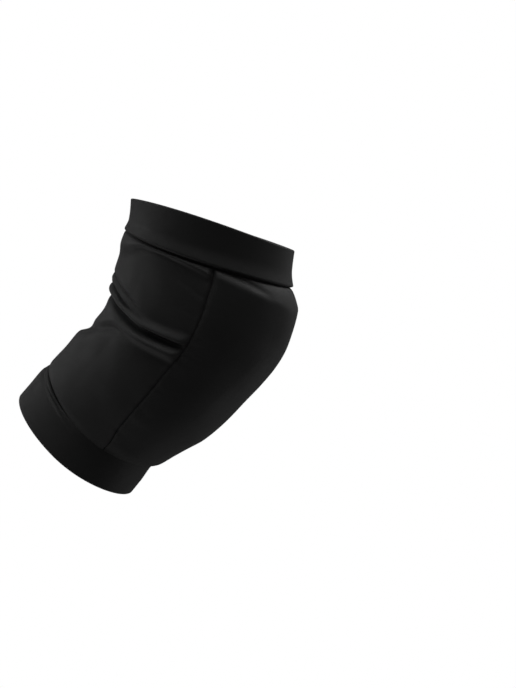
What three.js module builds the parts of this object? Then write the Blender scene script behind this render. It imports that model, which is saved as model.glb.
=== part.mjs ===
// A dance knee pad: a stretch-knit sleeve, bent as on a flexed knee, with a foam-padded front panel,
// a thin back panel that gathers into folds in the hollow of the knee, and a doubled band at each end.
//
// Millimetres. +Z runs up the thigh, -Y faces the front of the knee, and X is the width.
// The origin is the centre of the knee, on the axis of the leg that fills the sleeve.

import * as THREE from 'three';

// Leg axis: the thigh is upright, and the shin is bent back from it over a stretch of the axis.
const BEND = THREE.MathUtils.degToRad(25);
const BEND_LENGTH = 110;

// Walls and seams
const KNIT_WALL = 1.6; // back panel
const BAND_WALL = 2.4; // bands, folded double
const PAD_EDGE_WALL = 1.8; // front panel where it is sewn
const PAD_CROWN = 2.5; // how squarely the foam fills out from its middle to the side seams
const SEAM_GAP = 0.3; // slit between two sewn pieces
const SEAM_ROLL = 0.9; // how far a sewn edge turns in
const SEAM_ROLL_REACH = 4; // how far from the seam it starts to turn
const RIM_ROLL = 0.9; // rounding of the folded rims
const RIM_ROLL_REACH = 1.4;
const BAND_LAP = 0.6; // how far a band stands out over the panels at its seam

// Side seams: the edge of the foam holds the cloth out in a low ridge on each side.
const RIDGE_RISE = 4.5;
const RIDGE_REACH = 49;
const RIDGE_FADE = 40; // length over which the ridge dies out towards each band

// Outer form of the sleeve, a row for each section, from the thigh down.
// station: place along the leg axis. halfWidth, front, back: reach of the outer surface from the axis.
// seamDeg: angle of the side seams from the front. pad: thickness of the padded panel at its middle.
const SECTIONS = [
  { name: 'top_rim', station: 95, halfWidth: 71, front: 67.2, back: 70.8, seamDeg: 65, pad: 1.8 },
  { name: 'top_band', station: 78, halfWidth: 69, front: 70.6, back: 68.0, seamDeg: 65, pad: 1.8 },
  { name: 'top_seam', station: 61, halfWidth: 68, front: 75.3, back: 67.6, seamDeg: 65, pad: 1.8 },
  { name: 'pad_head', station: 50, halfWidth: 67, front: 83.2, back: 67.2, seamDeg: 66, pad: 11 },
  { name: 'pad_brow', station: 38, halfWidth: 66, front: 87.4, back: 67.1, seamDeg: 67, pad: 16 },
  { name: 'pad_crest', station: 24, halfWidth: 64.6, front: 89.5, back: 66.0, seamDeg: 67, pad: 18 },
  { name: 'pad_middle', station: 10, halfWidth: 63.2, front: 88.2, back: 64.0, seamDeg: 67, pad: 18 },
  { name: 'knee', station: -4, halfWidth: 61.8, front: 84.2, back: 61.0, seamDeg: 67, pad: 18 },
  { name: 'knee_hollow', station: -20, halfWidth: 60.6, front: 79.3, back: 59.0, seamDeg: 68, pad: 18 },
  { name: 'calf_head', station: -40, halfWidth: 60, front: 74.6, back: 61.0, seamDeg: 68, pad: 17.5 },
  { name: 'calf', station: -60, halfWidth: 59, front: 68.7, back: 64.9, seamDeg: 67, pad: 16 },
  { name: 'pad_foot', station: -80, halfWidth: 58, front: 61.0, back: 67.2, seamDeg: 64, pad: 11 },
  { name: 'pad_toe', station: -92, halfWidth: 57.4, front: 56.3, back: 68.0, seamDeg: 60, pad: 5.5 },
  { name: 'low_seam', station: -101, halfWidth: 57, front: 52.0, back: 69.6, seamDeg: 58, pad: 1.8 },
  { name: 'low_band', station: -116, halfWidth: 57, front: 53.0, back: 69.6, seamDeg: 58, pad: 1.8 },
  { name: 'low_rim', station: -133, halfWidth: 56, front: 53.7, back: 70.0, seamDeg: 58, pad: 1.8 },
];

// Rims and band seams, which wander round the leg: mean station, how much higher the front lies than
// that, and how much higher the front and back lie than the flanks.
const EDGES = {
  topRim: { mean: 92.6, frontRise: -0.6, endsRise: -1.2 },
  topSeam: { mean: 63.0, frontRise: -3.6, endsRise: 1.6 },
  lowSeam: { mean: -98.8, frontRise: -3.2, endsRise: 3.0 },
  lowRim: { mean: -131.2, frontRise: -0.2, endsRise: 2.0 },
};

// Folds of the back panel, a row for each ridge (rise above 0) or valley (below 0), all from seam to seam.
// at: stations of the fold at the three FOLD_PLACES. rise: its height there.
// halfWidth: distance from its middle line at which it has mostly died out.
const FOLD_PLACES = [0, 60, 112]; // degrees from the back: behind the knee, on the flank and at the seam
const FOLDS = [
  { name: 'upper_ridge', at: [9, 2.4, 7.2], rise: [1.8, 2.8, 3.0], halfWidth: 5.5 },
  { name: 'knee_valley', at: [5, -3.6, 0.4], rise: [-1.4, -3.4, -2.6], halfWidth: 5.5 },
  { name: 'lower_ridge', at: [-36, -12.6, -7.5], rise: [0.6, 2.2, 3.2], halfWidth: 6 },
  { name: 'hollow_crease', at: [-50, -20, -16], rise: [-1.2, -2.4, 0], halfWidth: 6.5 },
  { name: 'calf_swell', at: [-56, -32, -27], rise: [2.2, 1.2, 0], halfWidth: 11 },
];
const FOLD_FADE = 5; // length over which folds die out at a seam

// Brow of the front panel: the upper edge of the foam, which holds the cloth out over the way to the band.
// at, rise: its stations and heights at the three BROW_PLACES. above, below: how far it reaches each way.
const BROW_PLACES = [0, 38, 68]; // degrees from the front
const BROW = { at: [46, 50.8, 54.5], rise: [1.4, 2.8, 1.4], above: 5.5, below: 12 };

// Mesh density
const BAND_COLUMNS = 52;
const BAND_ROWS = 2;
const PANEL_ROWS = 29;
const BACK_COLUMNS = 38;
const FRONT_COLUMNS = 17;
const BACK_CROWDING = { at: 0.6, share: 0.6 }; // place up the panel where rows lie closer, and how much
const FRONT_CROWDING = { at: 0, share: 0.4 };
const PLACING_PASSES = 4; // rounds in which a grid point's angle and station settle on each other

const KNIT = { color: 0x17171a, roughness: 0.62, metalness: 0 };
const BAND_KNIT = { color: 0x1a1a1d, roughness: 0.58, metalness: 0 };

const clamp01 = (value) => THREE.MathUtils.clamp(value, 0, 1);
const lerp = THREE.MathUtils.lerp;

// Value of a section column at a station, on a smooth curve through the rows.
function sectionValue(column, station) {
  const rows = SECTIONS;
  const last = rows.length - 1;
  let i = rows.findIndex((row) => row.station <= station) - 1;
  if (station < rows[last].station) i = last - 1;
  i = THREE.MathUtils.clamp(i, 0, last - 1);
  const slope = (a, b) => (rows[b][column] - rows[a][column]) / (rows[b].station - rows[a].station);
  const span = rows[i + 1].station - rows[i].station;
  const t = (station - rows[i].station) / span;
  const startSlope = slope(Math.max(i - 1, 0), i + 1) * span;
  const endSlope = slope(i, Math.min(i + 2, last)) * span;
  const start = rows[i][column];
  const end = rows[i + 1][column];
  return (
    (2 * t ** 3 - 3 * t ** 2 + 1) * start +
    (t ** 3 - 2 * t ** 2 + t) * startSlope +
    (3 * t ** 2 - 2 * t ** 3) * end +
    (t ** 3 - t ** 2) * endSlope
  );
}

// Point of the leg axis at a station, with the axis' lean there.
function legAxis(station) {
  const inBend = THREE.MathUtils.clamp(station, -BEND_LENGTH / 2, BEND_LENGTH / 2);
  const lean = BEND * (0.5 - inBend / BEND_LENGTH);
  const radius = BEND_LENGTH / BEND;
  const past = station - inBend;
  return {
    lean,
    forward: radius * (Math.cos(lean) - Math.cos(BEND / 2)) + past * Math.sin(lean),
    height: radius * (Math.sin(BEND / 2) - Math.sin(lean)) + past * Math.cos(lean),
  };
}

// Point of the sleeve's outer form at an angle from the front, moved out from it by some distance.
function sleevePoint(angle, station, outward) {
  const halfWidth = sectionValue('halfWidth', station);
  const reach = sectionValue(Math.cos(angle) > 0 ? 'front' : 'back', station);
  const normal = new THREE.Vector2(halfWidth * Math.cos(angle), reach * Math.sin(angle)).normalize();
  const ahead = reach * Math.cos(angle) + outward * normal.x;
  const aside = halfWidth * Math.sin(angle) + outward * normal.y;
  const axis = legAxis(station);
  return new THREE.Vector3(
    -aside,
    -(axis.forward + ahead * Math.cos(axis.lean)),
    axis.height - ahead * Math.sin(axis.lean),
  );
}

const edgeStation = (edge, angle) =>
  edge.mean + edge.frontRise * Math.cos(angle) + edge.endsRise * Math.cos(2 * angle);

const seamAngle = (station) => THREE.MathUtils.degToRad(sectionValue('seamDeg', station));

// Local length of one radian round the sleeve, for turning angles into distances.
const girthRadius = (station) => sectionValue('halfWidth', station);

// Turn-in of an edge at a distance from it.
const roll = (distance, depth, reach) => -depth * clamp01(1 - distance / reach) ** 2;

// Ridge that the foam's edge raises along a side seam.
function ridgeRise(distance, fromEnd) {
  return RIDGE_RISE * clamp01(1 - distance / RIDGE_REACH) * clamp01(fromEnd / RIDGE_FADE);
}

// Value on the parabola through the values at three places.
function onParabola(values, places, where) {
  return values.reduce((sum, value, i) => {
    const others = places.filter((_, j) => j !== i);
    const weight = others.reduce((product, place) => (product * (where - place)) / (places[i] - place), 1);
    return sum + value * weight;
  }, 0);
}

// Height of a ridge or valley at an offset from its line, with its half widths above and below the line.
function lineRise(offset, rise, above, below) {
  const halfWidth = offset > 0 ? above : below;
  return rise * Math.exp(-((offset / halfWidth) ** 2));
}

// Height of the back panel's folds at a place on it.
function foldRise(angle, station) {
  const fromBack = Math.abs(180 - THREE.MathUtils.radToDeg(angle));
  return FOLDS.reduce((sum, { at, rise, halfWidth }) => {
    const offset = station - onParabola(at, FOLD_PLACES, fromBack);
    return sum + lineRise(offset, onParabola(rise, FOLD_PLACES, fromBack), halfWidth, halfWidth);
  }, 0);
}

// Height of the front panel's brow at a place on it.
function browRise(angle, station) {
  const fromFront = Math.abs(THREE.MathUtils.radToDeg(angle));
  const offset = station - onParabola(BROW.at, BROW_PLACES, fromFront);
  return lineRise(offset, onParabola(BROW.rise, BROW_PLACES, fromFront), BROW.above, BROW.below);
}

// Closed shell of a grid of outer points and the inner points under them. A ring's columns join up.
// Each cell is split along one diagonal on the left half and along the other on the right, so they mirror.
function shellGeometry(outer, inner, ring) {
  const rows = outer.length;
  const columns = outer[0].length;
  const positions = [...outer.flat(), ...inner.flat()].flatMap((point) => point.toArray());
  const outerAt = (row, column) => row * columns + (column % columns);
  const innerAt = (row, column) => rows * columns + outerAt(row, column);
  const index = [];
  const quad = (a, b, c, d) => index.push(a, b, c, a, c, d);
  const mirroredQuad = (a, b, c, d) => quad(b, c, d, a);
  const columnSteps = ring ? columns : columns - 1;
  for (let column = 0; column < columnSteps; column += 1) {
    const next = column + 1;
    const cell = column < columnSteps / 2 ? mirroredQuad : quad;
    for (let row = 0; row < rows - 1; row += 1) {
      cell(outerAt(row, column), outerAt(row + 1, column), outerAt(row + 1, next), outerAt(row, next));
      cell(innerAt(row, column), innerAt(row, next), innerAt(row + 1, next), innerAt(row + 1, column));
    }
    const end = rows - 1;
    quad(outerAt(0, column), outerAt(0, next), innerAt(0, next), innerAt(0, column));
    quad(outerAt(end, next), outerAt(end, column), innerAt(end, column), innerAt(end, next));
  }
  if (!ring) {
    const end = columns - 1;
    for (let row = 0; row < rows - 1; row += 1) {
      quad(outerAt(row + 1, 0), outerAt(row, 0), innerAt(row, 0), innerAt(row + 1, 0));
      quad(outerAt(row, end), outerAt(row + 1, end), innerAt(row + 1, end), innerAt(row, end));
    }
  }
  const geometry = new THREE.BufferGeometry();
  geometry.setAttribute('position', new THREE.Float32BufferAttribute(positions, 3));
  geometry.setIndex(index);
  geometry.computeVertexNormals();
  return geometry;
}

// Fractions 0 to 1 of a length: a few set distances in from each end, and even steps between.
function gridFractions(count, length, edgeSteps) {
  const ends = edgeSteps.map((step) => step / length);
  const first = ends.at(-1);
  const middle = Array.from({ length: count - 1 }, (_, i) => lerp(first, 1 - first, (i + 1) / count));
  return [0, ...ends, ...middle, ...ends.map((end) => 1 - end).reverse(), 1];
}

// Band from its seam to its rim. Both are given as EDGES rows, the seam first.
function bandGeometry(seam, rim) {
  const toRim = Math.sign(rim.mean - seam.mean);
  const length = Math.abs(rim.mean - seam.mean);
  const fractions = gridFractions(BAND_ROWS, length, [RIM_ROLL_REACH, SEAM_ROLL_REACH]);
  const ordered = toRim > 0 ? fractions : [...fractions].reverse();
  const outer = [];
  const inner = [];
  ordered.forEach((fraction) => {
    const outerRow = [];
    const innerRow = [];
    for (let column = 0; column < BAND_COLUMNS; column += 1) {
      const angle = (column / BAND_COLUMNS) * 2 * Math.PI;
      const seamStation = edgeStation(seam, angle) + (toRim * SEAM_GAP) / 2;
      const station = lerp(seamStation, edgeStation(rim, angle), fraction);
      const rise =
        BAND_LAP * (1 - fraction) +
        roll(fraction * length, SEAM_ROLL / 2, SEAM_ROLL_REACH) +
        roll((1 - fraction) * length, RIM_ROLL, RIM_ROLL_REACH);
      const rimInside = -roll((1 - fraction) * length, RIM_ROLL, RIM_ROLL_REACH);
      outerRow.push(sleevePoint(angle, station, rise));
      innerRow.push(sleevePoint(angle, station, BAND_LAP * (1 - fraction) - BAND_WALL + rimInside));
    }
    outer.push(outerRow);
    inner.push(innerRow);
  });
  return shellGeometry(outer, inner, true);
}

// Fractions up a panel whose rows lie closer at one place and wider apart half the panel away from it.
function crowd(even, { at, share }) {
  const wave = (fraction) => Math.sin(2 * Math.PI * (fraction - at)) / (2 * Math.PI);
  return even - share * (wave(even) - wave(0));
}

// Grid of a panel between the two band seams. angleAt gives the angle at a fraction across and a station,
// and shape gives the outward rise and the wall there, from the distances to the side seam and the ends.
function panelGeometry(columns, crowding, angleAt, shape) {
  const length = EDGES.topSeam.mean - EDGES.lowSeam.mean - SEAM_GAP;
  const middleStation = lerp(EDGES.lowSeam.mean, EDGES.topSeam.mean, 0.5);
  const across = Math.abs(angleAt(1, middleStation) - angleAt(0, middleStation)) * girthRadius(middleStation);
  const edgeSteps = [SEAM_ROLL_REACH / 3, SEAM_ROLL_REACH];
  const acrossFractions = gridFractions(columns, across, edgeSteps);
  const outer = [];
  const inner = [];
  gridFractions(PANEL_ROWS, length, edgeSteps).forEach((even) => {
    const up = crowd(even, crowding);
    const outerRow = [];
    const innerRow = [];
    acrossFractions.forEach((side) => {
      let station = middleStation;
      let angle = angleAt(side, station);
      for (let pass = 0; pass < PLACING_PASSES; pass += 1) {
        const low = edgeStation(EDGES.lowSeam, angle) + SEAM_GAP / 2;
        const top = edgeStation(EDGES.topSeam, angle) - SEAM_GAP / 2;
        station = lerp(low, top, up);
        angle = angleAt(side, station);
      }
      const fromSide = Math.min(side, 1 - side) * across;
      const fromEnd = Math.min(up, 1 - up) * length;
      const { rise, wall } = shape(angle, station, fromSide, fromEnd);
      const turnIn = roll(Math.min(fromSide, fromEnd), SEAM_ROLL, SEAM_ROLL_REACH);
      outerRow.push(sleevePoint(angle, station, rise + turnIn));
      innerRow.push(sleevePoint(angle, station, rise - wall));
    });
    outer.push(outerRow);
    inner.push(innerRow);
  });
  return shellGeometry(outer, inner, false);
}

// Slit beside a side seam, as an angle.
const seamSlit = (station) => SEAM_GAP / 2 / girthRadius(station);

function frontPadGeometry() {
  const angleAt = (side, station) => (seamAngle(station) - seamSlit(station)) * (2 * side - 1);
  return panelGeometry(FRONT_COLUMNS, FRONT_CROWDING, angleAt, (angle, station, fromSide, fromEnd) => {
    const share = Math.min(1, Math.abs(angle) / seamAngle(station));
    const foam = sectionValue('pad', station) - PAD_EDGE_WALL;
    const clear = clamp01(Math.min(fromSide, fromEnd) / FOLD_FADE);
    return {
      rise: ridgeRise(fromSide, fromEnd) + browRise(angle, station) * clear,
      wall: PAD_EDGE_WALL + Math.max(0, foam) * (1 - share ** PAD_CROWN),
    };
  });
}

function backPanelGeometry() {
  const angleAt = (side, station) => {
    const start = seamAngle(station) + seamSlit(station);
    return lerp(start, 2 * Math.PI - start, side);
  };
  return panelGeometry(BACK_COLUMNS, BACK_CROWDING, angleAt, (angle, station, fromSide, fromEnd) => {
    const clear = clamp01(Math.min(fromSide, fromEnd) / FOLD_FADE);
    return { rise: ridgeRise(fromSide, fromEnd) + foldRise(angle, station) * clear, wall: KNIT_WALL };
  });
}

function piece(name, geometry, finish) {
  const mesh = new THREE.Mesh(geometry, new THREE.MeshStandardMaterial(finish));
  mesh.name = name;
  return mesh;
}

const kneePad = new THREE.Group();
kneePad.add(
  piece('top_band', bandGeometry(EDGES.topSeam, EDGES.topRim), BAND_KNIT),
  piece('front_pad', frontPadGeometry(), KNIT),
  piece('back_panel', backPanelGeometry(), KNIT),
  piece('bottom_band', bandGeometry(EDGES.lowSeam, EDGES.lowRim), BAND_KNIT),
);

export default kneePad;
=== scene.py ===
"""A dance knee pad in black stretch knit, as worn on a bent knee.

It has a padded front, a gathered back and a doubled band at each end. The shapes are worked out in
millimetres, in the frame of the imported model: +Z up the thigh, -Y to the front of the knee, X across the
leg, and the origin at the centre of the knee. Meshes are made in metres.
"""

import math
from collections import namedtuple

import bpy
import numpy as np
from mathutils import Matrix, Vector


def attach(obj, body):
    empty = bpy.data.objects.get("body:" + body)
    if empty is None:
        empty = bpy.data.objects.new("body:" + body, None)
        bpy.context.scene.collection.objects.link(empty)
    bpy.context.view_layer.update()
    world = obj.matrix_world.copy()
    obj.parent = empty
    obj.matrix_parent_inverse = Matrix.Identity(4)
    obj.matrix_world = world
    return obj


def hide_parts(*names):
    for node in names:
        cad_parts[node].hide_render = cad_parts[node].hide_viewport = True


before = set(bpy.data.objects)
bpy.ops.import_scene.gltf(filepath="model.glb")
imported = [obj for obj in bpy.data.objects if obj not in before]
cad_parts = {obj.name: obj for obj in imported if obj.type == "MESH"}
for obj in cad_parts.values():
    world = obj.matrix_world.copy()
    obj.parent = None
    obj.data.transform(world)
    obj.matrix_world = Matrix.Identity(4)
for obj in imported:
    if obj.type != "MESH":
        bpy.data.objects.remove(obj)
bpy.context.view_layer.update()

MM = 0.001
CLOTH_MAP = "cloth"
HELD_GROUP = "held"

# Leg axis: the thigh is upright, and the shin is bent back from it over a stretch of the axis
BEND = math.radians(25)
BEND_LENGTH = 110.0

# Outer form of the sleeve, a row for each section, from the thigh down
SECTION_COLUMNS = ("station", "half_width", "front", "back", "seam_deg", "pad")
SECTIONS = {
    "top_rim": (95, 71, 67.2, 69.0, 65, 1.8),
    "top_band": (78, 69, 70.6, 67.6, 65, 1.8),
    "top_seam": (61, 68, 75.3, 67.6, 65, 1.8),
    "pad_head": (50, 67, 83.2, 67.2, 66, 11),
    "pad_brow": (38, 66, 87.4, 67.1, 67, 16),
    "pad_crest": (24, 64.6, 89.5, 66.0, 67, 18),
    "pad_middle": (10, 63.2, 88.2, 64.0, 67, 18),
    "knee": (-4, 61.8, 84.2, 61.0, 67, 18),
    "knee_hollow": (-20, 60.6, 79.3, 59.0, 68, 18),
    "calf_head": (-40, 60, 74.6, 61.0, 68, 17.5),
    "calf": (-60, 59, 68.7, 64.9, 67, 16),
    "pad_foot": (-80, 58, 61.0, 67.2, 64, 11),
    "pad_toe": (-92, 57.4, 56.3, 68.0, 60, 5.5),
    "low_seam": (-101, 57, 52.0, 69.6, 58, 1.8),
    "low_band": (-116, 57, 53.0, 69.6, 58, 1.8),
    "low_rim": (-133, 56, 53.7, 70.0, 58, 1.8),
}

# Rims and band seams: mean station, and the rises over it of the front, of both ends and of the near side
EDGE_COLUMNS = ("mean", "front_rise", "ends_rise", "near_rise")
EDGES = {
    "top_rim": (92.6, -0.6, -1.2, 1.6),
    "top_seam": (63.0, -3.6, 1.6, 0.0),
    "low_seam": (-98.8, -3.2, 3.0, 0.0),
    "low_rim": (-131.2, -0.2, 2.0, 0.0),
}

# Walls, and how fully the foam fills out between its seams
KNIT_WALL = 1.2
BAND_CLOTH = 0.9
BAND_WALL = 2.4
PAD_EDGE_WALL = 1.8
PAD_CROWN = 2.5

# Turn in to the side seams, reaches of the turns to all seams, and how far a band laps over its seam
SIDE_TURN = 1.1
SIDE_TURN_REACH = 2.0
TOP_TURN_REACH = 2.6
LOW_TURN_REACH = 5.5
TOP_EDGE_REACH = 2.2
LOW_EDGE_REACH = 9.0
SEAM_LAP = 0.3

# Lower seam at angles from the front: turns of panels and band, its sharp groove, and the band's crease
LOW_SEAM = {
    "degrees": (0, 60, 95, 110, 125, 145, 180),
    "panel_turn": (0.4, 0.5, 1.4, 2.2, 2.7, 2.8, 2.4),
    "band_turn": (0.4, 0.5, 1.4, 2.0, 1.5, 0.9, 0.6),
    "groove_depth": (0.0, 0.1, 0.3, 1.4, 2.8, 3.8, 3.8),
    "crease_place": (6.4, 6.4, 5.0, 3.4, 3.3, 3.5, 3.8),
    "crease_rise": (0.0, 0.0, -0.3, -1.5, -1.9, -1.1, 0.0),
}
GROOVE_REACH = 2.7
CREASE_WIDTH = 1.1

# Upper seam at angles from the front: how far the band and the panels turn in to it
TOP_SEAM = {
    "degrees": (0, 100, 130, 150, 180),
    "turn": (1.6, 1.6, 1.2, 0.7, 0.6),
}

# Upper band at angles from the front: its swelling, where that starts and stops falling, and its rim flare
TOP_BAND = {
    "degrees": (0, 60, 110, 130, 145, 160, 180),
    "swelling": (2.2, 3.0, 3.6, 2.8, 2.4, 1.6, 0.9),
    "fall_start": (-4.0, -2.0, -1.0, -1.0, -1.0, 0.0, 1.0),
    "fall_end": (16, 12, 11.5, 10.5, 10, 11, 13),
    "rim_flare": (0.4, 0.4, 0.8, 1.5, 2.0, 2.1, 2.2),
}

# Lip under the upper seam at angles from the back: its place, rise and half widths, and the crease below it
LIP = {
    "degrees": (0, 20, 35, 50, 65, 80, 95, 112),
    "place": (12.0, 11.0, 9.5, 7.0, 3.2, 2.4, 3.2, 6.4),
    "rise": (0.0, 1.0, 2.8, 3.0, 2.4, 2.2, 2.3, 2.2),
    "above": (10.0, 10.0, 9.0, 6.0, 2.5, 1.7, 2.2, 4.2),
    "below": (10.0, 10.0, 10.0, 6.5, 1.9, 1.2, 1.4, 2.0),
    "crease": (0.0, 0.0, 0.0, -0.2, -1.3, -1.3, -0.5, 0.0),
}
LIP_CREASE_STEP = 2.2
LIP_CREASE_WIDTH = 0.9
LIP_END_FADE = 3.0

# Low ridge that the foam's edge raises along the side seams
RIDGE_RISE = 4.5
RIDGE_REACH_FRONT = 50.0
RIDGE_REACH_BACK = 48.0
RIDGE_FADE = 40.0

# Folds of the back panel at angles from the back: stations, rises and half widths above and below the line
FOLD_DEGREES = (0, 40, 60, 85, 112)
FOLD_COLUMNS = ("station", "rise", "above", "below")
FOLDS = {
    "thigh_crease": (
        (60, 56, 53, 48, 37.5), (0.0, 0.0, 0.0, -0.35, -0.6),
        (2.4, 2.4, 2.4, 2.4, 2.4), (2.0, 2.0, 2.0, 2.0, 2.0),
    ),
    "low_thigh_crease": (
        (40, 34, 30, 27.4, 24.4), (0.0, 0.0, 0.0, -0.1, -0.6),
        (2.2, 2.2, 2.2, 2.2, 2.2), (1.8, 1.8, 1.8, 1.8, 1.8),
    ),
    "small_crease": (
        (28, 20, 13.4, 8, 14), (-0.2, -1.6, -1.5, -0.1, 0.0),
        (2.0, 2.0, 1.8, 1.8, 1.8), (1.4, 1.4, 1.2, 1.2, 1.2),
    ),
    "small_ridge": (
        (23, 16.6, 10.4, 4.6, 10), (0.0, 0.9, 1.7, 0.3, 0.0),
        (1.5, 1.5, 1.4, 1.4, 1.4), (1.3, 1.3, 1.3, 1.3, 1.3),
    ),
    "upper_crease": (
        (16, 10.6, 5.8, 3.4, 8), (-0.6, -3.0, -3.0, -0.4, 0.0),
        (1.7, 1.7, 1.7, 1.7, 1.7), (1.5, 1.5, 1.5, 1.5, 1.5),
    ),
    "upper_ridge": (
        (8, 5.6, 2.8, 1.2, 5.4), (0.6, 1.6, 2.4, 4.2, 3.6),
        (6.0, 3.4, 3.2, 3.2, 3.4), (3.4, 3.0, 2.8, 2.8, 2.8),
    ),
    "knee_valley": (
        (5, 0.8, -4.2, -5.8, -1.4), (-1.0, -4.6, -5.0, -4.2, -2.0),
        (4.0, 2.8, 2.8, 2.8, 2.8), (6.0, 3.2, 3.0, 2.6, 2.4),
    ),
    "lower_ridge": (
        (-40, -20, -12.6, -10.0, -5.0), (0.4, 1.2, 2.2, 4.2, 4.8),
        (14.0, 12.0, 5.0, 2.6, 2.6), (6.0, 6.0, 5.5, 6.0, 6.0),
    ),
    "hollow_crease": (
        (-50, -34, -19.4, -17, -16), (-1.0, -2.2, -2.2, -0.8, 0.0),
        (7.0, 6.0, 5.0, 5.0, 5.0), (4.0, 4.0, 4.0, 5.0, 5.0),
    ),
    "seam_pucker": (
        (-16, -16, -16, -17, -13.6), (0.0, 0.0, 0.0, 0.0, -1.0),
        (3.0, 3.0, 3.0, 3.0, 3.0), (4.0, 4.0, 4.0, 4.0, 4.0),
    ),
    "calf_swell": (
        (-55, -46, -30, -27, -27), (2.6, 1.8, 0.9, 0.3, 0.0),
        (6.0, 8.0, 7.0, 7.0, 7.0), (12.0, 16.0, 18.0, 18.0, 18.0),
    ),
}
FOLD_FADE = 3.0
SIDE_FADE = 6.0
FOLD_LEAN = 0.55
FAR_FOLD_SHIFT = 2.5
FAR_FOLD_DEGREES = 60

# Brow along the foam's upper edge and the dimple over it, at angles from the front: stations and rises
BROW = {
    "degrees": (0, 20, 35, 50, 68),
    "station": (46, 48.5, 50.5, 52.2, 54.5),
    "rise": (1.4, 2.2, 2.8, 2.6, 1.4),
    "dimple_station": (47, 49.5, 53.6, 58.6, 61),
    "dimple_rise": (0.0, 0.0, -1.2, -2.2, -0.6),
}
BROW_ABOVE = 4.6
BROW_BELOW = 12.0
BROW_ROUND = 0.7
DIMPLE_ABOVE = 2.4
DIMPLE_BELOW = 2.2

# Slight unevenness of the stretched knit
UNEVEN_HEIGHT = 0.16
UNEVEN_WAVES = 14
UNEVEN_LENGTHS = (22.0, 75.0)
FRONT_SEED = 3
BACK_SEED = 5

# Small puckers that the stitching draws up along the seams
PUCKER_HEIGHT = 0.22
PUCKER_REACH = 4.5
PUCKER_LENGTHS = (6.5, 9.2, 14.3)

# Grids of the panels: fine steps in from the seams, even steps between, and rows crowded at the knee's folds
EDGE_STEPS = (0.12, 0.35, 0.7, 1.1, 1.6, 2.2, 3.0, 3.9, 4.9, 6.0)
GRID_STEP = 1.35
ROW_CROWDING = 0.55
CROWD_PLACE = 0.6
STATION_PASSES = 4

# Grid of a band: columns round the leg, step along its cloth and steps over its rim
BAND_COLUMNS = 320
BAND_STEP = 1.25
RIM_STEPS = 10

# Cover of the front panel: soft, slack cloth, held at the seams and blown out from a little inside its place
COVER_EDGE_STEPS = (2.0,)
COVER_STEP = 3.5
COVER_INSET = 1.0
COVER_INSET_REACH = 30.0
COVER_PRESSURE = 4.0
COVER_STIFFNESS = 0.15
COVER_BENDING = 0.3
COVER_SLACK = 0.01
COVER_FRAMES = 20
COVER_CAP = 2.5

# Knit: pitch of its stitch columns and rows, and height of its stitches, in metres
WALE_PITCH = 0.0009
COURSE_PITCH = 0.00075
STITCH_HEIGHT = 0.00012
BUMP_STRENGTH = 0.45

# Form of a stitch: slant of its loop, heights of loop and ground, and the groove between columns
STITCH_SLANT = 0.5
LOOP_HEIGHT = 0.25
GROUND_HEIGHT = 0.6
WALE_GROOVE = 0.5
WALE_GROOVE_POWER = 4.0

# Yarn: scale and detail of its patches and fuzz, their shares in tint and height, and its sheen
PATCH_SCALE = 28.0
PATCH_DETAIL = 3.0
PATCH_RANGE = (0.3, 0.7)
FUZZ_SCALE = 1400.0
FUZZ_DETAIL = 2.0
FUZZ_SHARE = 0.3
STITCH_TINT = 0.5
PATCH_TINT = 0.5
SHEEN = 0.05
SHEEN_ROUGHNESS = 0.4

# Finishes: whether stitch columns run round the leg, the yarn's shades, its roughness and specular level
FINISH_COLUMNS = ("turned", "dark", "light", "smooth", "rough", "specular")
FINISHES = {
    "panel_knit": (False, 0.0115, 0.0165, 0.54, 0.66, 0.40),
    "band_knit": (True, 0.0100, 0.0145, 0.58, 0.70, 0.35),
}

# Places in the photograph's frame, in its pixels, and the size of a pixel at the knee
PHOTO_SIZE = (516, 688)
KNEE_PIXEL = (176.0, 330.0)
PIXEL_SIZE = 0.82

# Camera: where it stands round the knee, and how the photograph is turned
CAMERA_AZIMUTH = math.radians(-70)
CAMERA_ELEVATION = math.radians(4)
CAMERA_ROLL = math.radians(16.6)
CAMERA_DISTANCE = 1500.0
SENSOR = 36.0

# Lights: directions from the knee in degrees, distances and sizes in metres, and powers in watts
LIGHT_COLUMNS = ("azimuth", "elevation", "distance", "size", "power")
LIGHTS = {
    "near_left": (-165, 19, 0.75, 0.5, 0.5),
    "upper_right": (11, 77, 0.75, 0.5, 1.35),
    "low_left": (-162, -45, 1.7, 0.8, 4.1),
    "low_right": (43, -29, 1.7, 0.8, 1.8),
    "overhead": (-99, 61, 1.7, 0.8, 5.3),
    "back_right": (65, 48, 1.7, 0.8, 5.2),
    "back_left": (178, 2, 1.7, 0.8, 2.1),
    "near_top": (178, 74, 0.75, 0.5, 1.8),
    "right": (11, -7, 1.7, 0.8, 0.9),
    "front": (61, 4, 1.7, 0.8, 0.4),
    "left_low": (-125, -69, 1.7, 0.8, 2.6),
}

# Room: how much light it gives the cloth, and its floor's height and half width in metres
ROOM_LIGHT = 0.06
FLOOR_HEIGHT = -0.62
FLOOR_HALF_WIDTH = 6.0

Grid = namedtuple("Grid", ("angle", "station", "from_side", "from_low", "from_top", "cloth"))


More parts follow.
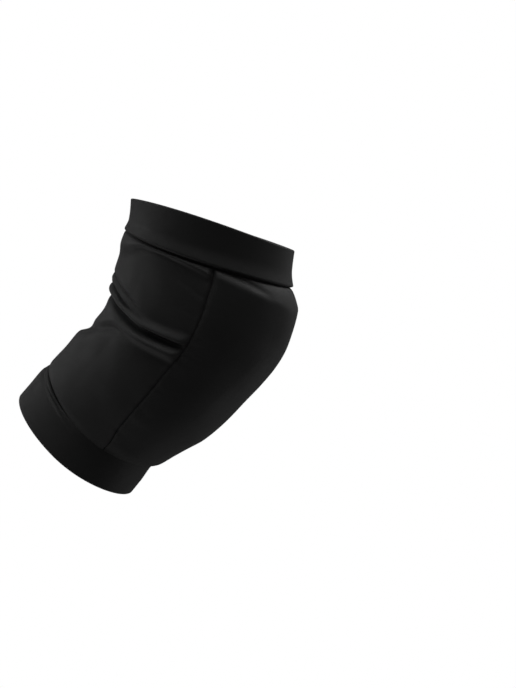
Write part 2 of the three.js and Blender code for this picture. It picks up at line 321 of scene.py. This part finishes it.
def smooth_curve(places, values, where):
    """Cubic curve through values at places that rise or fall all the way, read where asked."""
    places = np.asarray(places, float)
    values = np.asarray(values, float)
    if places[0] > places[-1]:
        places = places[::-1]
        values = values[::-1]
    slopes = np.gradient(values, places)
    slopes[1:-1] = (values[2:] - values[:-2]) / (places[2:] - places[:-2])
    where = np.asarray(where, float)
    i = np.clip(np.searchsorted(places, where) - 1, 0, len(places) - 2)
    span = places[i + 1] - places[i]
    t = (where - places[i]) / span
    return (
        (2 * t**3 - 3 * t**2 + 1) * values[i]
        + (t**3 - 2 * t**2 + t) * span * slopes[i]
        + (3 * t**2 - 2 * t**3) * values[i + 1]
        + (t**3 - t**2) * span * slopes[i + 1]
    )


def at_degrees(table, name, degrees):
    """Value of a row of a table whose columns stand at angles in degrees."""
    return smooth_curve(table["degrees"], table[name], degrees)


def section(column, station):
    """Value of a column of SECTIONS at a station."""
    k = SECTION_COLUMNS.index(column)
    rows = list(SECTIONS.values())
    return smooth_curve([row[0] for row in rows], [row[k] for row in rows], station)


def edge_mean(name):
    """Mean station of a rim or band seam."""
    return EDGES[name][EDGE_COLUMNS.index("mean")]


def edge_station(name, angle):
    """Station of a rim or band seam at an angle from the front."""
    mean, front_rise, ends_rise, near_rise = EDGES[name]
    return mean + front_rise * np.cos(angle) + ends_rise * np.cos(2 * angle) + near_rise * np.sin(angle)


def side_seam(station):
    """Angle of the near side seam from the front, in degrees."""
    return section("seam_deg", station)


def far_seam(station):
    """Angle of the far side seam, counted back from the front."""
    return -side_seam(station)


def far_seam_round(station):
    """Angle of the far side seam, counted on round the back."""
    return 360 - side_seam(station)


def sleeve_point(angle, station, outward):
    """Points of the sleeve's outer form, moved out from it by some distance."""
    half_width = section("half_width", station)
    reach = np.where(np.cos(angle) > 0, section("front", station), section("back", station))
    normal_ahead = half_width * np.cos(angle)
    normal_aside = reach * np.sin(angle)
    normal_size = np.hypot(normal_ahead, normal_aside)
    ahead = reach * np.cos(angle) + outward * normal_ahead / normal_size
    aside = half_width * np.sin(angle) + outward * normal_aside / normal_size
    in_bend = np.clip(station, -BEND_LENGTH / 2, BEND_LENGTH / 2)
    lean = BEND * (0.5 - in_bend / BEND_LENGTH)
    radius = BEND_LENGTH / BEND
    past = station - in_bend
    forward = radius * (np.cos(lean) - math.cos(BEND / 2)) + past * np.sin(lean)
    height = radius * (math.sin(BEND / 2) - np.sin(lean)) + past * np.cos(lean)
    return np.stack([-aside, -(forward + ahead * np.cos(lean)), height - ahead * np.sin(lean)], -1)


def degrees_from_front(angle):
    """Degrees 0 to 180 from the front, on either side of the leg."""
    return np.abs(180 - np.abs(180 - np.abs(np.degrees(angle))))


def turn_in(distance, depth, reach):
    """How far an edge turns in towards its seam, at a distance from it."""
    return -depth * np.clip(1 - distance / reach, 0, 1) ** 2


def line_rise(offset, rise, above, below):
    """Height of a ridge or valley at an offset from its line, with half widths on both sides."""
    return rise * np.exp(-((offset / np.where(offset > 0, above, below)) ** 2))


def low_turn(angle, from_low, turn, reach):
    """How far the cloth turns in to the lower seam, by a row of LOW_SEAM, with the seam's groove."""
    from_front = degrees_from_front(angle)
    groove = turn_in(from_low, at_degrees(LOW_SEAM, "groove_depth", from_front), GROOVE_REACH)
    return turn_in(from_low, at_degrees(LOW_SEAM, turn, from_front), reach) + groove


def top_turn(angle, from_top, reach, swelling=0.0):
    """How far the cloth turns in to the upper seam, from any swelling it has there."""
    depth = at_degrees(TOP_SEAM, "turn", degrees_from_front(angle))
    return turn_in(from_top, depth + swelling, reach)


def seam_turn(grid):
    """How far a panel turns in towards its seams."""
    side = turn_in(grid.from_side, SIDE_TURN, SIDE_TURN_REACH)
    low = low_turn(grid.angle, grid.from_low, "panel_turn", LOW_TURN_REACH)
    top = top_turn(grid.angle, grid.from_top, TOP_TURN_REACH)
    return np.minimum(side, np.minimum(low, top))


def fold_rise(angle, station):
    """Height of the back panel's folds, a little lower down on the far side of the leg."""
    degrees = np.degrees(angle)
    from_back = np.abs(180 - degrees)
    shifted = station + FAR_FOLD_SHIFT * np.clip((degrees - 180) / FAR_FOLD_DEGREES, 0, 1)
    total = np.zeros_like(station)
    for row in FOLDS.values():
        fold = {
            column: smooth_curve(FOLD_DEGREES, values, from_back)
            for column, values in zip(FOLD_COLUMNS, row)
        }
        total += line_rise(shifted - fold["station"], fold["rise"], fold["above"], fold["below"])
    return total


def lip_rise(angle, from_top):
    """Height of the back panel's lip under the upper band, with the crease under the lip."""
    from_back = np.abs(180 - np.degrees(angle))
    end = LIP["degrees"][-1]
    within = np.minimum(from_back, end)
    values = {name: at_degrees(LIP, name, within) for name in LIP}
    lip = line_rise(values["place"] - from_top, values["rise"], values["above"], values["below"])
    from_crease = values["place"] + LIP_CREASE_STEP - from_top
    crease = line_rise(from_crease, values["crease"], LIP_CREASE_WIDTH, LIP_CREASE_WIDTH)
    fade = np.clip(1 - (from_back - end) / LIP_END_FADE, 0, 1)
    return (lip + crease) * fade


def brow_rise(angle, station):
    """Height of the brow along the foam's upper edge, which is crisp, and of the dimple over it."""
    from_front = np.abs(np.degrees(angle))
    values = {name: at_degrees(BROW, name, from_front) for name in BROW}
    offset = station - values["station"]
    reach = np.where(offset > 0, BROW_ABOVE, BROW_BELOW)
    brow = values["rise"] * np.exp(-(np.hypot(offset, BROW_ROUND) - BROW_ROUND) / reach)
    from_dimple = station - values["dimple_station"]
    return brow + line_rise(from_dimple, values["dimple_rise"], DIMPLE_ABOVE, DIMPLE_BELOW)


def ridge_rise(from_side, from_end, reach):
    """Height of the low ridge that the foam's edge raises along the side seams."""
    return RIDGE_RISE * np.clip(1 - from_side / reach, 0, 1) * np.clip(from_end / RIDGE_FADE, 0, 1)


def unevenness(cloth, seed):
    """Sum of long, low waves over a piece of cloth."""
    random = np.random.default_rng(seed)
    total = np.zeros(cloth.shape[:-1])
    for _ in range(UNEVEN_WAVES):
        turn = random.uniform(0, 2 * math.pi)
        phase = random.uniform(0, 2 * math.pi)
        length = random.uniform(*UNEVEN_LENGTHS)
        along = cloth @ np.array([math.cos(turn), math.sin(turn)])
        total += np.sin(along * 2 * math.pi / length + phase)
    return UNEVEN_HEIGHT * total / math.sqrt(UNEVEN_WAVES / 2)


def puckers(from_seam, along):
    """Height of the small puckers at a distance from a seam, which die away from it."""
    waves = sum(np.sin(2 * math.pi * along / length + length) for length in PUCKER_LENGTHS)
    return PUCKER_HEIGHT * waves / math.sqrt(len(PUCKER_LENGTHS)) * np.exp(-from_seam / PUCKER_REACH)


def edge_spaced(length, edge_steps, step):
    """Fractions 0 to 1 of a length, with set distances in from both ends and even steps between."""
    ends = np.array(edge_steps) / length
    count = max(2, round(length * (1 - 2 * ends[-1]) / step))
    middle = np.linspace(ends[-1], 1 - ends[-1], count + 1)[1:-1]
    return np.concatenate([[0], ends, middle, 1 - ends[::-1], [1]])


def panel_grid(start_deg, end_deg, edge_steps=EDGE_STEPS, step=GRID_STEP):
    """Grid over a panel whose side edges, in degrees, are given by two functions of the station."""
    low_mean = edge_mean("low_seam")
    top_mean = edge_mean("top_seam")
    middle = (low_mean + top_mean) / 2
    length = top_mean - low_mean
    span = math.radians(float(end_deg(middle) - start_deg(middle)))
    across = span * float(section("half_width", middle))
    even = edge_spaced(length, edge_steps, step)[:, None]
    turn = 2 * math.pi * (even - CROWD_PLACE)
    up = even - ROW_CROWDING * (np.sin(turn) - np.sin(turn[0])) / (2 * math.pi)
    side = edge_spaced(across, edge_steps, step)[None, :]
    station = np.full((up.size, side.size), middle)
    for _ in range(STATION_PASSES):
        angle = np.radians(start_deg(station) * (1 - side) + end_deg(station) * side)
        low = edge_station("low_seam", angle)
        top = edge_station("top_seam", angle)
        station = low * (1 - up) + top * up
    from_side, from_low, from_top, aside = (
        np.broadcast_to(distance, station.shape)
        for distance in (np.minimum(side, 1 - side) * across, up * length, (1 - up) * length, side * across)
    )
    return Grid(angle, station, from_side, from_low, from_top, np.stack([aside, from_low], -1))


def grid_faces(at):
    """Four-sided faces between neighbouring points of a grid of point numbers."""
    return np.stack([at[:-1, :-1], at[1:, :-1], at[1:, 1:], at[:-1, 1:]], -1).reshape(-1, 4)


def mesh_object(name, points, faces, cloth):
    """A smooth-shaded mesh from points in millimetres, with the cloth's own coordinates as its UV map."""
    mesh = bpy.data.meshes.new(name)
    mesh.from_pydata((points * MM).tolist(), [], faces.tolist())
    layer = mesh.uv_layers.new(name=CLOTH_MAP)
    corners = np.empty(len(mesh.loops), np.int32)
    mesh.loops.foreach_get("vertex_index", corners)
    layer.data.foreach_set("uv", (cloth[corners] * MM).astype(np.float32).ravel())
    mesh.polygons.foreach_set("use_smooth", np.ones(len(mesh.polygons), bool))
    mesh.update()
    piece = bpy.data.objects.new(name, mesh)
    bpy.context.scene.collection.objects.link(piece)
    return piece


def shell_object(name, outer, inner, cloth):
    """Closed panel between a grid of outer points and the inner points under them."""
    rows, columns = outer.shape[:2]
    at = np.arange(rows * columns).reshape(rows, columns)
    under = at + rows * columns

    def strip(a, b, c, d):
        return np.stack([a, b, c, d], -1).reshape(-1, 4)

    faces = np.concatenate([
        grid_faces(at),
        strip(under[:-1, :-1], under[:-1, 1:], under[1:, 1:], under[1:, :-1]),
        strip(at[0, :-1], at[0, 1:], under[0, 1:], under[0, :-1]),
        strip(at[-1, 1:], at[-1, :-1], under[-1, :-1], under[-1, 1:]),
        strip(at[1:, 0], at[:-1, 0], under[:-1, 0], under[1:, 0]),
        strip(at[:-1, -1], at[1:, -1], under[1:, -1], under[:-1, -1]),
    ])
    points = np.concatenate([outer.reshape(-1, 3), inner.reshape(-1, 3)])
    return mesh_object(name, points, faces, np.concatenate([cloth.reshape(-1, 2)] * 2))


def regrid(values, old_up, old_side, new_up, new_side):
    """Values on one grid of a panel, read smoothly at the places of another."""
    along = np.stack([smooth_curve(old_side, row, new_side) for row in values])
    return np.stack([smooth_curve(old_up, column, new_up) for column in along.T], -1)


def add_cloth(cover):
    """Soft cloth on the cover's net, held by its group of seam points and blown out by pressure."""
    modifier = cover.modifiers.new("cloth", "CLOTH")
    settings = modifier.settings
    settings.vertex_group_mass = HELD_GROUP
    settings.tension_stiffness = COVER_STIFFNESS
    settings.compression_stiffness = COVER_STIFFNESS
    settings.shear_stiffness = COVER_STIFFNESS
    settings.bending_stiffness = COVER_BENDING
    settings.shrink_min = -COVER_SLACK
    settings.use_pressure = True
    settings.uniform_pressure_force = COVER_PRESSURE
    settings.effector_weights.gravity = 0
    modifier.collision_settings.use_collision = False
    modifier.point_cache.frame_start = 1
    modifier.point_cache.frame_end = COVER_FRAMES


def blown_cover(cloth):
    """How far the foam pushes the cover out, by a cloth simulation, at places on the cloth."""
    net = panel_grid(far_seam, side_seam, COVER_EDGE_STEPS, COVER_STEP)
    from_end = np.minimum(net.from_low, net.from_top)
    from_edge = np.minimum(net.from_side, from_end)
    inset = COVER_INSET * np.clip(from_edge / COVER_INSET_REACH, 0, 1)
    rise = ridge_rise(net.from_side, from_end, RIDGE_REACH_FRONT) - inset
    start = sleeve_point(net.angle, net.station, rise)
    outward = sleeve_point(net.angle, net.station, rise + 1) - start
    at = np.arange(rise.size).reshape(rise.shape)
    cover = mesh_object("cover_net", start.reshape(-1, 3), grid_faces(at), net.cloth.reshape(-1, 2))
    held = cover.vertex_groups.new(name=HELD_GROUP)
    held.add(at[from_edge == 0].tolist(), 1.0, "REPLACE")
    add_cloth(cover)
    scene = bpy.context.scene
    for number in range(1, COVER_FRAMES + 1):
        scene.frame_set(number)
    blown = cover.evaluated_get(bpy.context.evaluated_depsgraph_get()).data
    places = np.empty(start.size, np.float32)
    blown.vertices.foreach_get("co", places)
    moved = places.reshape(start.shape) / MM - start
    scene.frame_set(1)
    bpy.data.objects.remove(cover)
    push = np.clip((moved * outward).sum(-1), -COVER_CAP, COVER_CAP) - inset
    return regrid(push, net.cloth[:, 0, 1], net.cloth[0, :, 0], cloth[:, 0, 1], cloth[0, :, 0])


def front_panel():
    """Padded front: a smooth cover over foam that thins out to the seams."""
    grid = panel_grid(far_seam, side_seam)
    angle, station, from_side = grid.angle, grid.station, grid.from_side
    from_end = np.minimum(grid.from_low, grid.from_top)
    share = np.clip(np.abs(angle) / np.radians(side_seam(station)), 0, 1)
    foam = np.clip(section("pad", station) - PAD_EDGE_WALL, 0, None)
    clear = np.clip(np.minimum(from_side, from_end) / FOLD_FADE, 0, 1)
    relief = brow_rise(angle, station) + unevenness(grid.cloth, FRONT_SEED)
    detail = relief * clear + puckers(from_side, station)
    rise = ridge_rise(from_side, from_end, RIDGE_REACH_FRONT) + blown_cover(grid.cloth) + detail
    wall = PAD_EDGE_WALL + foam * (1 - share**PAD_CROWN)
    turn = seam_turn(grid)
    outer = sleeve_point(angle, station, rise + turn)
    inner = sleeve_point(angle, station, rise + turn - wall)
    return shell_object("front_panel", outer, inner, grid.cloth)


def back_panel():
    """Thin back, gathered into folds in the hollow of the knee."""
    grid = panel_grid(side_seam, far_seam_round)
    angle, station, from_side = grid.angle, grid.station, grid.from_side
    from_end = np.minimum(grid.from_low, grid.from_top)
    clear = np.clip(np.minimum(from_side, from_end) / FOLD_FADE, 0, 1)
    beside = np.clip(from_side / SIDE_FADE, 0, 1)
    fold = fold_rise(angle, station) * np.minimum(clear, beside * (2 - beside))
    lip = lip_rise(angle, grid.from_top) * np.clip(from_side / FOLD_FADE, 0, 1)
    detail = lip + unevenness(grid.cloth, BACK_SEED) * clear + puckers(from_side, station)
    rise = ridge_rise(from_side, from_end, RIDGE_REACH_BACK) + fold + detail
    leaning = station - FOLD_LEAN * fold
    turn = seam_turn(grid)
    outer = sleeve_point(angle, leaning, rise + turn)
    inner = sleeve_point(angle, leaning, rise + turn - KNIT_WALL)
    return shell_object("back_knit", outer, inner, grid.cloth)


def top_band_rise(angle, from_seam, along):
    """How far the upper band swells over its seam, turns in to it and flares at its rim."""
    from_front = degrees_from_front(angle)
    values = {name: at_degrees(TOP_BAND, name, from_front) for name in TOP_BAND}
    start = values["fall_start"]
    fall = np.clip((from_seam - start) / (values["fall_end"] - start), 0, 1)
    swelling = values["swelling"]
    turn = top_turn(angle, from_seam, TOP_EDGE_REACH, swelling - lip_rise(angle, 0.0))
    return swelling * (1 - fall**2 * (3 - 2 * fall)) + values["rim_flare"] * along**2 + turn


def low_band_rise(angle, from_seam):
    """How far the lower band turns in to its seam, with the crease beside it."""
    from_front = degrees_from_front(angle)
    from_crease = from_seam - at_degrees(LOW_SEAM, "crease_place", from_front)
    depth = at_degrees(LOW_SEAM, "crease_rise", from_front)
    crease = line_rise(from_crease, depth, CREASE_WIDTH, CREASE_WIDTH)
    return low_turn(angle, from_seam, "band_turn", LOW_EDGE_REACH) + crease


def band_profile(length):
    """Outline of cloth folded double over a rim: distances from the seam, and depths under the surface."""
    middle_radius = (BAND_WALL - BAND_CLOTH) / 2
    straight = length - BAND_WALL / 2
    run = straight * edge_spaced(straight, EDGE_STEPS, BAND_STEP)
    turn = np.linspace(0, math.pi, RIM_STEPS + 1)[1:-1]

    def face(radius):
        """One face of the cloth: out from the seam, over the rim and back inside."""
        out_run = np.stack([run, np.full_like(run, BAND_WALL / 2 - radius)], -1)
        rim_turn = np.stack([straight + radius * np.sin(turn), BAND_WALL / 2 - radius * np.cos(turn)], -1)
        in_run = np.stack([run[::-1], np.full_like(run, BAND_WALL / 2 + radius)], -1)
        return np.concatenate([out_run, rim_turn, in_run])

    outside = face(middle_radius + BAND_CLOTH / 2)
    inside = face(middle_radius - BAND_CLOTH / 2)
    return np.concatenate([outside, inside[::-1]])


def band(name, seam, rim):
    """Knit folded double over a rim and carried round the leg."""
    length = abs(edge_mean(rim) - edge_mean(seam))
    upward = edge_mean(rim) > edge_mean(seam)
    profile = band_profile(length)
    from_seam = profile[:, 0][:, None]
    depth = profile[:, 1][:, None]
    along = from_seam / length
    angle = np.linspace(0, 2 * math.pi, BAND_COLUMNS, endpoint=False)[None, :]
    lap = SEAM_LAP if upward else -SEAM_LAP
    station = (edge_station(seam, angle) - lap) * (1 - along) + edge_station(rim, angle) * along
    rise = top_band_rise(angle, from_seam, along) if upward else low_band_rise(angle, from_seam)
    points = sleeve_point(angle, station, rise - depth)
    at = np.arange(station.size).reshape(station.shape)
    right = np.roll(at, -1, 1)
    below = np.roll(at, -1, 0)
    corner = np.roll(right, -1, 0)
    order = (at, below, corner, right) if upward else (at, right, corner, below)
    faces = np.stack(order, -1).reshape(-1, 4)
    girth = angle * section("half_width", edge_mean(seam))
    cloth = np.stack(np.broadcast_arrays(girth, from_seam), -1)
    return mesh_object(name, points.reshape(-1, 3), faces, cloth.reshape(-1, 2))


class Nodes:
    """Short way to add and join the nodes of one material."""

    def __init__(self, material):
        self.tree = material.node_tree

    def add(self, kind, **settings):
        """A new node with its settings."""
        node = self.tree.nodes.new(kind)
        for name, value in settings.items():
            setattr(node, name, value)
        return node

    def feed(self, socket, source):
        """Join a socket to an output, or set it to a value."""
        if hasattr(source, "is_output"):
            self.tree.links.new(source, socket)
        else:
            socket.default_value = source

    def calc(self, operation, *sources):
        """Result of a calculation on outputs and values."""
        node = self.add("ShaderNodeMath", operation=operation)
        for socket, source in zip(node.inputs, sources):
            self.feed(socket, source)
        return node.outputs[0]

    def noise(self, scale, detail):
        """Noise in the piece's own space."""
        node = self.add("ShaderNodeTexNoise")
        place = self.add("ShaderNodeTexCoord")
        self.feed(node.inputs["Vector"], place.outputs["Object"])
        self.feed(node.inputs["Scale"], scale)
        self.feed(node.inputs["Detail"], detail)
        return node.outputs["Fac"]

    def spread(self, source, low, high):
        """The middle of a noise's range, spread from one value to another."""
        node = self.add("ShaderNodeMapRange")
        ends = {"From Min": PATCH_RANGE[0], "From Max": PATCH_RANGE[1], "To Min": low, "To Max": high}
        self.feed(node.inputs["Value"], source)
        for name, value in ends.items():
            self.feed(node.inputs[name], value)
        return node.outputs["Result"]

    def mix_shades(self, factor, dark, light):
        """Grey between a dark and a light shade."""
        node = self.add("ShaderNodeMix", data_type="RGBA")
        first, second = (socket for socket in node.inputs if socket.type == "RGBA")
        self.feed(node.inputs["Factor"], factor)
        first.default_value = (dark, dark, dark, 1)
        second.default_value = (light, light, light, 1)
        return next(socket for socket in node.outputs if socket.type == "RGBA")


def stitch_height(nodes, turned):
    """Jersey stitches as a height: columns of slanting loops, on the cloth's own coordinates."""
    uv = nodes.add("ShaderNodeUVMap", uv_map=CLOTH_MAP)
    parts = nodes.add("ShaderNodeSeparateXYZ")
    nodes.feed(parts.inputs[0], uv.outputs["UV"])
    across, along = parts.outputs["X"], parts.outputs["Y"]
    if turned:
        across, along = along, across
    column = nodes.calc("FRACT", nodes.calc("DIVIDE", across, WALE_PITCH))
    from_middle = nodes.calc("ABSOLUTE", nodes.calc("MULTIPLY_ADD", column, 2.0, -1.0))
    row = nodes.calc("DIVIDE", along, COURSE_PITCH)
    slanted = nodes.calc("MULTIPLY_ADD", from_middle, STITCH_SLANT, row)
    loop = nodes.calc("SINE", nodes.calc("MULTIPLY", slanted, 2 * math.pi))
    between = nodes.calc("POWER", from_middle, WALE_GROOVE_POWER)
    raised = nodes.calc("MULTIPLY_ADD", loop, LOOP_HEIGHT, GROUND_HEIGHT)
    return nodes.calc("MULTIPLY_ADD", between, -WALE_GROOVE, raised)


def knit_material(name):
    """Black jersey: nearly black yarn in fine stitches, with a soft sheen at glancing angles."""
    finish = dict(zip(FINISH_COLUMNS, FINISHES[name]))
    material = bpy.data.materials.new(name)
    material.use_nodes = True
    nodes = Nodes(material)
    shader = material.node_tree.nodes["Principled BSDF"]
    patches = nodes.noise(PATCH_SCALE, PATCH_DETAIL)
    fuzz = nodes.noise(FUZZ_SCALE, FUZZ_DETAIL)
    stitches = stitch_height(nodes, finish["turned"])
    tint = nodes.calc("MULTIPLY_ADD", stitches, STITCH_TINT, nodes.calc("MULTIPLY", patches, PATCH_TINT))
    yarn = nodes.mix_shades(tint, finish["dark"], finish["light"])
    nodes.feed(shader.inputs["Base Color"], yarn)
    nodes.feed(shader.inputs["Roughness"], nodes.spread(patches, finish["smooth"], finish["rough"]))
    shader.inputs["Specular IOR Level"].default_value = finish["specular"]
    shader.inputs["Sheen Weight"].default_value = SHEEN
    shader.inputs["Sheen Roughness"].default_value = SHEEN_ROUGHNESS
    bump = nodes.add("ShaderNodeBump")
    nodes.feed(bump.inputs["Strength"], BUMP_STRENGTH)
    nodes.feed(bump.inputs["Distance"], STITCH_HEIGHT)
    nodes.feed(bump.inputs["Height"], nodes.calc("MULTIPLY_ADD", fuzz, FUZZ_SHARE, stitches))
    nodes.feed(shader.inputs["Normal"], bump.outputs["Normal"])
    return material


def direction(azimuth, elevation):
    """Direction from the knee, by an angle round it from the front and a height, in radians."""
    return Vector((
        math.sin(azimuth) * math.cos(elevation),
        -math.cos(azimuth) * math.cos(elevation),
        math.sin(elevation),
    ))


def add_camera():
    """Camera at the photograph's viewing angle, aimed so that the knee falls where the photograph has it."""
    right = Vector((math.cos(CAMERA_AZIMUTH), math.sin(CAMERA_AZIMUTH), 0))
    back = direction(CAMERA_AZIMUTH, CAMERA_ELEVATION)
    up = back.cross(right)
    image_right = right * math.cos(CAMERA_ROLL) + up * math.sin(CAMERA_ROLL)
    image_up = up * math.cos(CAMERA_ROLL) - right * math.sin(CAMERA_ROLL)
    aside = (PHOTO_SIZE[0] / 2 - KNEE_PIXEL[0]) * PIXEL_SIZE
    above = (KNEE_PIXEL[1] - PHOTO_SIZE[1] / 2) * PIXEL_SIZE
    place = back * CAMERA_DISTANCE
    aim = image_right * aside + image_up * above
    axis_z = (place - aim).normalized()
    axis_y = (image_up - axis_z * image_up.dot(axis_z)).normalized()
    axis_x = axis_y.cross(axis_z)
    data = bpy.data.cameras.new("camera")
    data.sensor_width = SENSOR
    data.lens = SENSOR * (place - aim).length / (PHOTO_SIZE[1] * PIXEL_SIZE)
    camera = bpy.data.objects.new("camera", data)
    turn = Matrix((axis_x, axis_y, axis_z)).transposed()
    camera.matrix_world = Matrix.Translation(place * MM) @ turn.to_4x4()
    bpy.context.scene.collection.objects.link(camera)
    bpy.context.scene.camera = camera


def add_lights():
    """Soft square lights aimed at the knee."""
    for name, row in LIGHTS.items():
        values = dict(zip(LIGHT_COLUMNS, row))
        data = bpy.data.lights.new(name, "AREA")
        data.size = values["size"]
        data.energy = values["power"]
        light = bpy.data.objects.new(name, data)
        away = direction(math.radians(values["azimuth"]), math.radians(values["elevation"]))
        light.location = away * values["distance"]
        light.rotation_mode = "QUATERNION"
        light.rotation_quaternion = away.to_track_quat("Z", "Y")
        bpy.context.scene.collection.objects.link(light)


def bright_to_camera(tree, kind, dim_value, surface):
    """White as the camera sees it, and dim as a source of light for everything else."""
    dim = tree.nodes.new(kind)
    dim.inputs["Color"].default_value = (dim_value, dim_value, dim_value, 1)
    bright = tree.nodes.new(kind)
    bright.inputs["Color"].default_value = (1, 1, 1, 1)
    path = tree.nodes.new("ShaderNodeLightPath")
    mix = tree.nodes.new("ShaderNodeMixShader")
    tree.links.new(path.outputs["Is Camera Ray"], mix.inputs["Fac"])
    tree.links.new(dim.outputs[0], mix.inputs[1])
    tree.links.new(bright.outputs[0], mix.inputs[2])
    tree.links.new(mix.outputs["Shader"], surface)


def add_room():
    """White room and floor, both dim for the light on the cloth. Lights shine up through the floor."""
    world = bpy.data.worlds.new("room")
    world.use_nodes = True
    surface = world.node_tree.nodes["World Output"].inputs["Surface"]
    bright_to_camera(world.node_tree, "ShaderNodeBackground", ROOM_LIGHT, surface)
    bpy.context.scene.world = world
    bpy.context.scene.view_settings.view_transform = "Standard"
    white = bpy.data.materials.new("floor_white")
    white.use_nodes = True
    surface = white.node_tree.nodes["Material Output"].inputs["Surface"]
    bright_to_camera(white.node_tree, "ShaderNodeEmission", ROOM_LIGHT, surface)
    half = FLOOR_HALF_WIDTH
    sides = ((-half, -half), (half, -half), (half, half), (-half, half))
    mesh = bpy.data.meshes.new("floor")
    mesh.from_pydata([(x, y, FLOOR_HEIGHT) for x, y in sides], [], [(0, 1, 2, 3)])
    mesh.materials.append(white)
    floor = bpy.data.objects.new("floor", mesh)
    floor.visible_shadow = False
    bpy.context.scene.collection.objects.link(floor)


add_camera()
add_lights()
add_room()
front = front_panel()
back = back_panel()
top = band("top_band_knit", "top_seam", "top_rim")
bottom = band("bottom_band_knit", "low_seam", "low_rim")
PIECES = (
    (front, "front_pad", "panel_knit"),
    (back, "back_panel", "panel_knit"),
    (top, "top_band", "band_knit"),
    (bottom, "bottom_band", "band_knit"),
)
finishes = {name: knit_material(name) for name in FINISHES}
for made, node, slot in PIECES:
    made.data.materials.append(finishes[slot])
    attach(made, "root")
    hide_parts(node)
